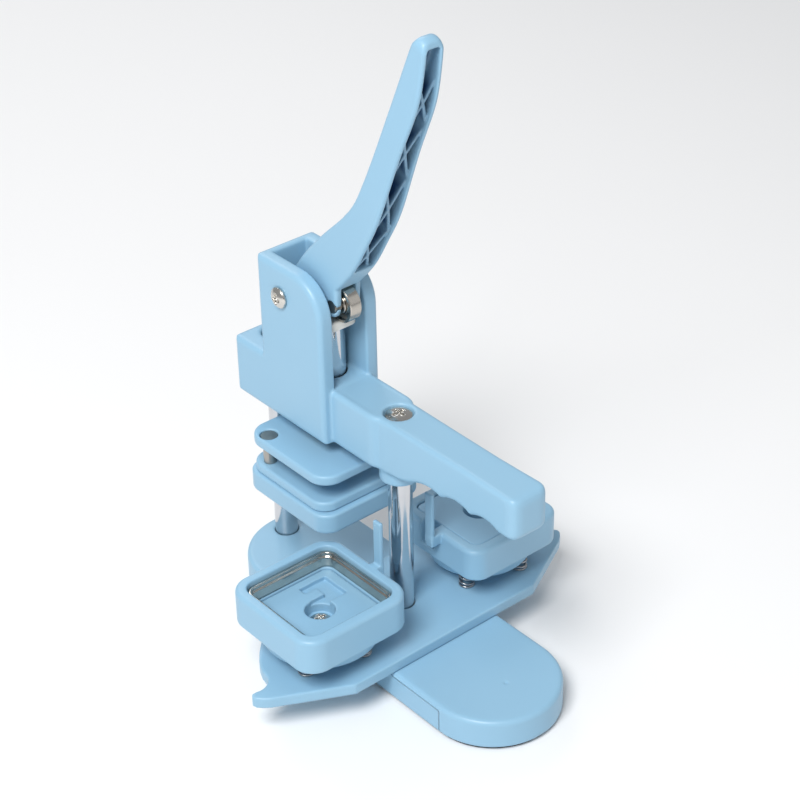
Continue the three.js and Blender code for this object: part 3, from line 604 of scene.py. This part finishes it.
ground = metal("bearing_finish", (0.55, 0.52, 0.47), (0.34, 0.31, 0.27), 0.14)
centre = (0, roller_y, roller_z)
h = high_r[0]
ring = turned("roller_outer_race", [
    (5.2, -h + 0.9), (7.7, -h + 0.9), (7.9, -h), (9.1, -h), (9.5, -h + 0.4),
    (9.5, h - 0.4), (9.1, h), (7.9, h), (7.7, h - 0.9), (5.2, h - 0.9)], centre, "X")
ring.data.materials.append(ground)
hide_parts("roller_outer_ring")
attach(ring, "roller")
race = turned("roller_inner_race", [
    (3.3, -h), (4.6, -h), (4.9, -h + 0.3), (4.9, h - 0.3), (4.6, h), (3.3, h)],
    centre, "X")
race.data.materials.append(ground)
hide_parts("roller_inner_ring")
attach(race, "handle")
finish_nodes(hardware, "roller_pin")


# ---- Ram ----
# A chrome rod with a nylon cap that the roller pushes, and below it the upper plate,
# a spacer and the nylon pusher.

low, high = span("ram_rod")
shoulder = span("upper_plate")[1][2] + 0.3
rod = turned("ram_bar", [(0, low[2]), (4.6, low[2]), (5, low[2] + 0.4), (5, shoulder),
                         (7.6, shoulder), (8, shoulder + 0.4), (8, high[2] - 0.8),
                         (7.2, high[2]), (0, high[2])], (0, 0, 0))
rod.data.materials.append(chrome)
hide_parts("ram_rod")
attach(rod, "ram")

g = Graph("nylon_finish")
milk, speck = g.noise(30.0), g.noise(1500.0)
base = g.mix(milk * 0.6, (0.80, 0.79, 0.74, 1), (0.68, 0.67, 0.62, 1))
base = g.mix(g.edges() * 0.4, base, (0.88, 0.87, 0.84, 1))
bump = g.node("ShaderNodeBump", inputs={
    "Strength": 0.2, "Distance": 0.0001, "Height": speck})
nylon = g.finish(g.node("ShaderNodeBsdfPrincipled", inputs={
    "Base Color": base, "Roughness": speck * 0.1 + 0.4, "Normal": bump}))
low, high = span("ram_cap")
x, y, z = grid(low, high, 0.4)
middle = (low[1] + high[1]) / 2
outline = rectangle(x, y - middle, high[0], (high[1] - low[1]) / 2, 5)
cap = skin("ram_cap_pad", slab(outline, z, low[2], high[2], 0.4, 1.0), x, y, z, 0.5)
cap.data.materials.append(nylon)
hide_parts("ram_cap")
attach(cap, "ram")

low, high = span("upper_plate")
x, y, z = grid(low, high, 0.5)
outline = rectangle(x, y, high[0], high[1], 10.5)
field = slab(outline, z, low[2], high[2], 0.8, 1.2)
field = carved(field, disc(x, y, 0, 0, 5.3), 0.3)
field = carved(field, np.maximum(disc(x, y, 0, 0, 13.4), z - low[2] - 3.2), 0.4)
for node in ("guide_post_left", "guide_post_right"):
    post_low, post_high = span(node)
    px, py = (post_low[0] + post_high[0]) / 2, (post_low[1] + post_high[1]) / 2
    field = carved(field, disc(x, y, px, py, 3.7), 0.2)
    sink = np.maximum(disc(x, y, px, py, 4.6), high[2] - 2.8 - z)
    field = carved(field, sink, 0.6)
plate = skin("upper_plate_moulding", field, x, y, z, 0.5)
plate.data.materials.append(plastic("plate_plastic", BLUE, DEEP_BLUE, RUBBED_BLUE, 0.3))
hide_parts("upper_plate")
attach(plate, "ram")

low, high = span("pusher")
x, y, z = grid(low, high, 0.5)
field = slab(rectangle(x, y, high[0], high[1], 5), z, low[2], high[2], 1.0, 0.5)
field = carved(field, disc(x, y, 0, 0, 2.8), 0.2)
field = carved(field, np.maximum(disc(x, y, 0, 0, 6), z - low[2] - 2.6), 0.4)
pusher = skin("pusher_pad", field, x, y, z, 0.5)
pusher.data.materials.append(nylon)
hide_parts("pusher")
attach(pusher, "ram")
finish_nodes(hardware, "pusher_spacer", "pusher_screw", "ram_retaining_ring")
finish_nodes(hardware, "guide_post_left", "guide_post_right")


# ---- Upper die block ----
# A square sleeve with a plate on top, set back a little from the sleeve's face.

low, high = span("upper_block")
x, y, z = grid(low, high, 0.5)
field = slab(rectangle(x, y, high[0], high[1], 9), z, low[2], high[2], 1.4, 1.2)
field = carved(field, rectangle(x, y, 24.2, 24.2, 6), 0.6)
block = skin("upper_block_moulding", field, x, y, z, 0.4)
block.data.materials.append(plastic("block_plastic", BLUE, DEEP_BLUE, RUBBED_BLUE, 0.3))
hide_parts("upper_block")
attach(block, "upper_die")

low, high = span("upper_block_plate")
middle = (low[1] + high[1]) / 2
x, y, z = grid(low, high, 0.5)
outline = rectangle(x, y - middle, high[0], (high[1] - low[1]) / 2, 9)
field = slab(outline, z, low[2], high[2], 0.5, 1.3)
recess = np.maximum(rectangle(x, y, 24, 24, 6), z - span("pusher")[1][2] - 0.4)
field = carved(carved(field, recess, 0.4), disc(x, y, 0, 0, 9.2), 0.4)
for px, py in ((-24.5, 20), (24.5, -20)):
    field = carved(field, disc(x, y, px, py, 2.4), 0.2)
top_plate = skin("upper_block_lid", field, x, y, z, 0.4)
top_plate.data.materials.append(block.data.materials[0])
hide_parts("upper_block_plate")
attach(top_plate, "upper_die")


# ---- Turntable ----
# A flat moulded plate that turns on the front column. Its horned ends are notched so
# that each die locks against the rear column.

low, high = span("turntable_plate")
x, y, z = grid(low, high, 0.6)
pivot_y = column_y
notch = [(93.8 + 8.3 * math.cos(a), 1.5 + 8.3 * math.sin(a))
         for a in np.linspace(-0.4 * math.pi, -0.98 * math.pi, 14)]
right = [(58, -34), (94.5, -15), (97.5, -12.6), (99.6, -10.2), (100, -8.2),
         (98.9, -6.5), *notch, (84.9, 4), (83.2, 8), (80.9, 11.6), (77, 16.5), (60, 34)]
outline = polygon(x, y - pivot_y, [*right, *((-px, py) for px, py in reversed(right))])
field = slab(outline, z, low[2], high[2], 0.5, 0.8)
lip = high[2] - 1.2
field = carved(field, disc(x, y, 0, pivot_y, 6.3), 0.2)
field = carved(field, np.maximum(disc(x, y, 0, pivot_y, 9.3), z - lip), 0.2)
for node in ("die_a_screw", "die_b_screw"):
    screw_low, screw_high = span(node)
    px = (screw_low[0] + screw_high[0]) / 2
    field = carved(field, disc(x, y, px, pivot_y, 3.3), 0.2)
    recess = np.maximum(disc(x, y, px, pivot_y, 6.3), z - low[2] - 2.8)
    field = carved(field, recess, 0.3)
table = skin("turntable_moulding", field, x, y, z, 0.4)
table.data.materials.append(plastic("table_plastic", BLUE, DEEP_BLUE, RUBBED_BLUE, 0.27))
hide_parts("turntable_plate")
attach(table, "turntable")
finish_nodes(nylon, "turntable_bushing")
finish_nodes(hardware, "die_a_nut", "die_b_nut")


# ---- Die sleeves ----
# Each die has a square sleeve on a round skirt that floats on four springs, with an
# upright finger beside the front column. Die A is an open cup, and die B has a slot.


SQUARE_BOTTOM, WELL_FLOOR, BOSS_ROOM = 38.8, 36, 14.3
SPRING_CIRCLE, SPRING_ROOM, SPRING_POCKET = 21.5, 4.8, 2.5
PIVOT_TO_DIE, FINGER_MIDDLE, FINGER_TOP = 51.5, 17.1, 82.6


def sleeve_field(x, y, z, half, corner, bottom, top, opening, opening_corner):
    """A square sleeve on a round skirt, about the die's own axis."""
    square = rectangle(x, y, half, half, corner)
    square = slab(square, z, SQUARE_BOTTOM, top, 1.2, 2.2)
    radius = np.hypot(x, y)
    cone = radius - (half - 4 + 3.5 * np.clip((z - bottom) / 7, 0, 1))
    skirt = slab(cone, z, bottom, 40, 1.0, 0.2)
    field = filleted(square, skirt, 0.6)
    well = rectangle(x, y, opening, opening, opening_corner)
    field = carved(field, np.maximum(well, WELL_FLOOR - z), 0.7)
    field = carved(field, radius - BOSS_ROOM, 0.3)
    for quarter in range(4):
        a = math.atan2(11.2, 18.3) + quarter * math.pi / 2
        hole_x, hole_y = SPRING_CIRCLE * math.cos(a), SPRING_CIRCLE * math.sin(a)
        hole = disc(x, y, hole_x, hole_y, SPRING_ROOM)
        field = carved(field, np.maximum(hole, z - bottom - SPRING_POCKET), 0.2)
    return field


def finger_field(x, y, z, inward, half, top, middle):
    """The upright finger and its ledge, on the side of the sleeve named by inward."""
    blade = rounded(np.abs(x - inward * (PIVOT_TO_DIE - FINGER_MIDDLE)) - 1.1,
                    np.abs(y - middle) - 2.7, 0.6)
    blade = slab(blade, z, top - 4, FINGER_TOP, 0.3, 0.7)
    inner = PIVOT_TO_DIE - 16
    reach = (half - 2 + inner) / 2
    length = inner - half + 2
    ledge = np.abs(x - inward * reach) - length / 2
    ledge = rounded(ledge, np.abs(y - middle) - 2.7, 0.4)
    return filleted(blade, slab(ledge, z, top - 6, top, 0.4, 0.5), 0.5)


sleeve_plastic = plastic("sleeve_plastic", BLUE, DEEP_BLUE, RUBBED_BLUE, 0.28)
low, high = span("die_a_sleeve")
screw_low, screw_high = span("die_a_screw")
die_x = (screw_low[0] + screw_high[0]) / 2
centre = np.array([die_x, pivot_y, 0])
x, y, z = grid(low - centre, high - centre, 0.5)
field = sleeve_field(x, y, z, 32, 11.5, low[2], 57.8, 24.1, 5)
ledge = np.maximum(rectangle(x, y, 26.5, 26.5, 6.5), 46.4 - z)
field = carved(field, ledge, 0.7)
field = filleted(field, finger_field(x, y, z, 1, 32, 57.8, -3.2), 0.5)
sleeve_a = skin("die_a_cup", field, x + centre[0], y + centre[1], z, 0.45)
sleeve_a.data.materials.append(sleeve_plastic)
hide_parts("die_a_sleeve")
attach(sleeve_a, "sleeve_a")

field = rectangle(x, y, 26.2, 26.2, 6.2)
field = slab(field, z, 46.7, 55.4, 0.2, 0.5)
field = carved(field, rectangle(x, y, 24.3, 24.3, 4.6), 0.3)
groove = np.maximum(rectangle(x, y, 25.2, 25.2, 5.4), np.abs(z - 53.2) - 0.55)
field = carved(field, groove, 0.15)
steel_ring = skin("die_a_ring", field, x + centre[0], y + centre[1], z, 0.5)
steel_ring.data.materials.append(ground)
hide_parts("die_a_steel_ring")
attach(steel_ring, "sleeve_a")

low, high = span("die_b_sleeve")
screw_low, screw_high = span("die_b_screw")
die_x = (screw_low[0] + screw_high[0]) / 2
centre_b = np.array([die_x, pivot_y, 0])
x, y, z = grid(low - centre_b, high - centre_b, 0.5)
field = sleeve_field(x, y, z, 29.5, 9, low[2], 56.8, 23.5, 4.5)
slot_cut = np.maximum(np.maximum(x + 20, np.abs(y - 6.25) - 4.75), 44 - z)
field = carved(field, slot_cut, 0.6)
field = filleted(field, finger_field(x, y, z, -1, 29.5, 56.8, -1.7), 0.5)
sleeve_b = skin("die_b_cup", field, x + centre_b[0], y + centre_b[1], z, 0.45)
sleeve_b.data.materials.append(sleeve_plastic)
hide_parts("die_b_sleeve")
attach(sleeve_b, "sleeve_b")


# ---- Die cores and their screws ----
# A core in each sleeve is screwed down to the turntable. Core A has an L-shaped
# pocket that joins its round hole, and core B is flush with a plain hole.

core_plastic = plastic("core_plastic", (0.27, 0.48, 0.65), DEEP_BLUE, RUBBED_BLUE, 0.32)
for die, at, core_half, core_top, hole, screw_top in (
        ("a", centre, 23.6, 45.8, 7.5, 41.4), ("b", centre_b, 23, 55.9, 8, 45)):
    low, high = span(f"die_{die}_core")
    x, y, z = grid(low - at, high - at, 0.5)
    field = slab(rectangle(x, y, core_half, core_half, 4), z, 36.3, core_top, 0.6, 0.7)
    boss = slab(np.hypot(x, y) - 13.8, z, low[2], 38, 0.5, 0.2)
    field = np.minimum(field, boss)
    well = np.maximum(np.hypot(x, y) - hole, screw_top - 3.1 - z)
    field = carved(field, well, 0.6)
    field = carved(field, np.hypot(x, y) - 3.3, 0.2)
    if die == "a":
        floor = core_top - 2.5 - z
        strips = ((9, 5, 9, 3), (13.5, 10.5, 4.5, 8.5), (8, 16.5, 6, 2.5))
        for cx, cy, half_x, half_y in strips:
            strip = rectangle(x - cx, y - cy, half_x, half_y, 0.8)
            field = carved(field, np.maximum(strip, floor), 0.4)
    core = skin(f"die_{die}_centre", field, x + at[0], y + at[1], z, 0.45)
    core.data.materials.append(core_plastic)
    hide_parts(f"die_{die}_core")
    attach(core, "turntable")

    low, high = span(f"die_{die}_screw")
    x, y, z = grid(low - at, high - at, 0.3)
    radius = np.hypot(x, y)
    dome = np.hypot(radius, z - high[2] + 8) - 8
    field = rounded(slab(radius - 5.6, z, high[2] - 2.8, high[2] + 2, 0.2, 0.2), dome, 0.4)
    field = np.minimum(field, slab(radius - 3, z, low[2], high[2] - 2, 0.4, 0.1))
    field = carved(field, cross(x, y, high[2] - z, 6.4), 0.15)
    screw = skin(f"die_{die}_pan_head", field, x + at[0], y + at[1], z, 0.6)
    screw.data.materials.append(screw_chrome)
    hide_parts(f"die_{die}_screw")
    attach(screw, "turntable")


# ---- Springs ----
# Round wire wound with closed end turns, made by one Geometry Nodes group.

group = bpy.data.node_groups.new("coil_spring", "GeometryNodeTree")
interface = group.interface
interface.new_socket("Geometry", in_out="OUTPUT", socket_type="NodeSocketGeometry")
for label, kind in (("Turns", "Float"), ("Radius", "Float"), ("Height", "Float"),
                    ("Wire", "Float"), ("Place", "Vector"), ("Finish", "Material")):
    interface.new_socket(label, in_out="INPUT", socket_type="NodeSocket" + kind)
given = group.nodes.new("NodeGroupInput")
result = group.nodes.new("NodeGroupOutput")


def step(kind, links, settings=None, output=0):
    node = group.nodes.new(kind)
    for key, value in (settings or {}).items():
        setattr(node, key, value)
    for key, value in links.items():
        if isinstance(value, bpy.types.NodeSocket):
            group.links.new(value, node.inputs[key])
        else:
            node.inputs[key].default_value = value
    return node.outputs[output]


wind = given.outputs
spiral = step("GeometryNodeCurveSpiral", {
    "Resolution": 28, "Rotations": wind["Turns"], "Start Radius": wind["Radius"],
    "End Radius": wind["Radius"], "Height": 0.0})
factor = step("GeometryNodeSplineParameter", {})
share = step("ShaderNodeMath", {0: 0.8, 1: wind["Turns"]}, {"operation": "DIVIDE"})
rest = step("ShaderNodeMath", {0: 1.0, 1: share}, {"operation": "SUBTRACT"})
rise = step("ShaderNodeMapRange", {"Value": factor, "From Min": share, "From Max": rest})
clear = step("ShaderNodeMath", {0: wind["Height"], 1: wind["Wire"]},
             {"operation": "SUBTRACT"})
lift = step("ShaderNodeMath", {0: rise, 1: clear}, {"operation": "MULTIPLY"})
half_wire = step("ShaderNodeMath", {0: wind["Wire"], 1: 0.5}, {"operation": "MULTIPLY"})
height = step("ShaderNodeMath", {0: lift, 1: half_wire}, {"operation": "ADD"})
offset = step("ShaderNodeCombineXYZ", {"Z": height})
raised = step("GeometryNodeSetPosition", {"Geometry": spiral, "Offset": offset})
section = step("GeometryNodeCurvePrimitiveCircle", {"Resolution": 10, "Radius": half_wire})
wound = step("GeometryNodeCurveToMesh", {
    "Curve": raised, "Profile Curve": section, "Fill Caps": True})
smooth = step("GeometryNodeSetShadeSmooth", {0: wound})
moved = step("GeometryNodeTransform", {"Geometry": smooth, "Translation": wind["Place"]})
real = step("GeometryNodeRealizeInstances", {"Geometry": moved})
done = step("GeometryNodeSetMaterial", {"Geometry": real, "Material": wind["Finish"]})
group.links.new(done, result.inputs[0])
spring_finish = metal("spring_wire_finish", (0.45, 0.45, 0.46), (0.28, 0.28, 0.29), 0.22)


def spring(name, node, turns, wire):
    low, high = span(node)
    piece = bpy.data.objects.new(name, bpy.data.meshes.new(name))
    bpy.context.scene.collection.objects.link(piece)
    modifier = piece.modifiers.new("wind", "NODES")
    modifier.node_group = group
    values = {"Turns": turns, "Radius": ((high[0] - low[0]) / 2 - wire / 2) * MM,
              "Height": float(high[2] - low[2]) * MM, "Wire": wire * MM,
              "Place": ((low[0] + high[0]) / 2 * MM, (low[1] + high[1]) / 2 * MM,
                        low[2] * MM), "Finish": spring_finish}
    for item in interface.items_tree:
        if item.name in values:
            modifier[item.identifier] = values[item.name]
    settle(piece)
    return piece


for die in "ab":
    for i in range(1, 5):
        node = f"die_{die}_spring_{i}"
        coil = spring(f"die_{die}_coil_{i}", node, 4.5, 1.1)
        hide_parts(node)
        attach(coil, "turntable")
        low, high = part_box(node)
        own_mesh(coil)
low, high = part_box("block_spring")
coil = spring("block_coil", "block_spring", 4.0, 1.3)
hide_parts("block_spring")
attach(coil, frame["nodes"]["block_spring"]["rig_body"])
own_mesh(coil)
low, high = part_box("ram_return_spring")
coil = spring("return_coil", "ram_return_spring", 5.0, 1.3)
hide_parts("ram_return_spring")
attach(coil, "ram")
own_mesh(coil)


# ---- Stage ----
# A plain pale floor, soft studio light and a long lens from the front left.

floor_mesh = bpy.data.meshes.new("floor")
floor_mesh.from_pydata([(-6, -6, 0), (6, -6, 0), (6, 6, 0), (-6, 6, 0)], [], [(0, 1, 2, 3)])
floor = bpy.data.objects.new("floor", floor_mesh)
bpy.context.scene.collection.objects.link(floor)
g = Graph("floor_paint")
mist = g.noise(3.0)
floor_mesh.materials.append(g.finish(g.node("ShaderNodeBsdfPrincipled", inputs={
    "Base Color": g.mix(mist, (0.92, 0.92, 0.92, 1), (0.90, 0.90, 0.90, 1)),
    "Roughness": 0.8})))

world = bpy.data.worlds.new("studio")
world.use_nodes = True
background = world.node_tree.nodes["Background"]
background.inputs["Color"].default_value = (0.95, 0.97, 1.0, 1)
background.inputs["Strength"].default_value = 0.38
bpy.context.scene.world = world
for name, place, size, power in (
        ("key", (-1.1, -0.6, 1.65), 0.8, 37.0),
        ("fill", (0.9, -1.4, 0.8), 1.2, 1.5),
        ("rim", (0.4, 1.2, 1.1), 0.8, 5.0)):
    lamp = bpy.data.lights.new(name, "AREA")
    lamp.energy, lamp.size = power, size
    lamp_object = bpy.data.objects.new(name, lamp)
    lamp_object.location = place
    aim = Vector((0, -0.04, 0.13)) - Vector(place)
    lamp_object.rotation_mode = "QUATERNION"
    lamp_object.rotation_quaternion = aim.to_track_quat("-Z", "Y")
    bpy.context.scene.collection.objects.link(lamp_object)

azimuth, elevation, roll = (math.radians(a) for a in (-40.13, 32.77, -0.94))
back = Vector((math.sin(azimuth) * math.cos(elevation),
               -math.cos(azimuth) * math.cos(elevation), math.sin(elevation)))
right = Vector((math.cos(azimuth), math.sin(azimuth), 0))
up = back.cross(right)
right_axis = math.cos(roll) * right + math.sin(roll) * up
up_axis = -math.sin(roll) * right + math.cos(roll) * up
camera = bpy.data.objects.new("camera", bpy.data.cameras.new("camera"))
camera.data.lens, camera.data.sensor_width = 92.1, 36
camera.data.shift_x, camera.data.shift_y = -0.011, 0.0096
turn = Matrix((right_axis, up_axis, back)).transposed().to_4x4()
camera.matrix_world = Matrix.Translation((-0.51693, -0.67215, 0.65852)) @ turn
bpy.context.scene.collection.objects.link(camera)
bpy.context.scene.camera = camera
bpy.context.scene.view_settings.view_transform = "Standard"
